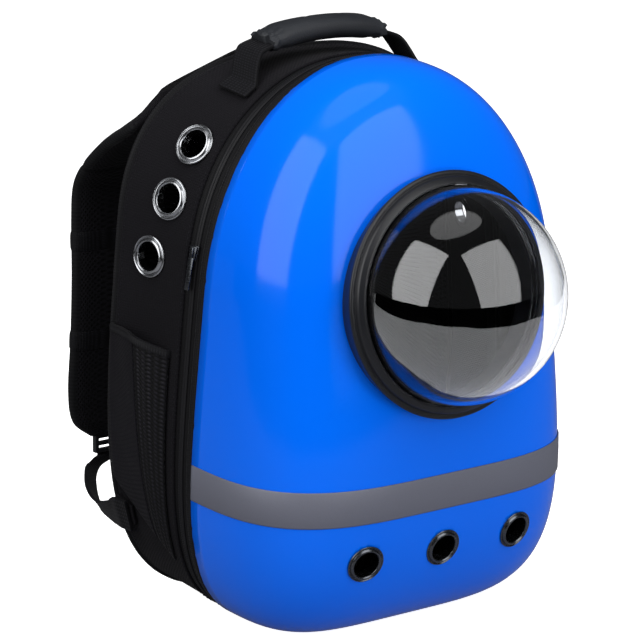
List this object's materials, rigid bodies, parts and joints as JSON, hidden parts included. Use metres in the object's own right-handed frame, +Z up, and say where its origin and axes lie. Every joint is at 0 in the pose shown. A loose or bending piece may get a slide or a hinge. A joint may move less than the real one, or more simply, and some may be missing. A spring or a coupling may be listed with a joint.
{
  "type": "bubble pet carrier backpack",
  "caption": "Pet carrier backpack with a hard glossy domed front, a clear bubble window, vented soft sides, side pockets, a grab handle and two padded shoulder straps.",
  "frame": {"origin": "middle of the overall box, at the floor it stands on", "axes": "+X across the wearer's back towards the right of the window side's view, +Y from the window towards the straps, +Z up"},
  "size_m": [0.3282, 0.4004, 0.4381],
  "materials": {
    "blue_abs": "glossy moulded ABS, strong clear reflections",
    "black_abs": "glossy moulded ABS",
    "clear_polycarbonate": "clear polished polycarbonate",
    "reflective_tape": "grey retroreflective tape, satin",
    "gunmetal": "gunmetal plated, polished",
    "nickel_steel": "nickel plated, polished",
    "soft_grip": "soft rubbery wrap, gathered at its ends",
    "black_webbing": "woven polyester tape",
    "air_mesh": "knitted spacer mesh over foam",
    "black_oxford": "woven Oxford polyester, matt"
  },
  "bodies": {
    "root": {"front_shell": "blue_abs", "shell_binding": "black_oxford", "zipper": "black_webbing", "zip_slider": "gunmetal", "gusset": "black_oxford", "back_piping": "black_oxford", "back_panel": "air_mesh", "window_ring": "black_abs", "window_dome": "clear_polycarbonate", "reflective_stripe": "reflective_tape", "handle_strap": "black_webbing", "handle_grip": "soft_grip", "front_eyelet_left": "gunmetal", "front_eyelet_middle": "gunmetal", "front_eyelet_right": "gunmetal", "side_eyelet_left_top": "nickel_steel", "side_eyelet_right_top": "nickel_steel", "side_eyelet_left_middle": "nickel_steel", "side_eyelet_right_middle": "nickel_steel", "side_eyelet_left_low": "nickel_steel", "side_eyelet_right_low": "nickel_steel", "side_pocket_left": "black_oxford", "side_pocket_right": "black_oxford", "side_pocket_mesh_left": "air_mesh", "side_pocket_mesh_right": "air_mesh", "shoulder_strap_left": "air_mesh", "shoulder_strap_right": "air_mesh", "strap_adjuster_left": "black_abs", "strap_adjuster_right": "black_abs", "strap_webbing_left": "black_webbing", "strap_webbing_right": "black_webbing", "strap_anchor_left": "black_oxford", "strap_anchor_right": "black_oxford"}
  },
  "joints": []
}
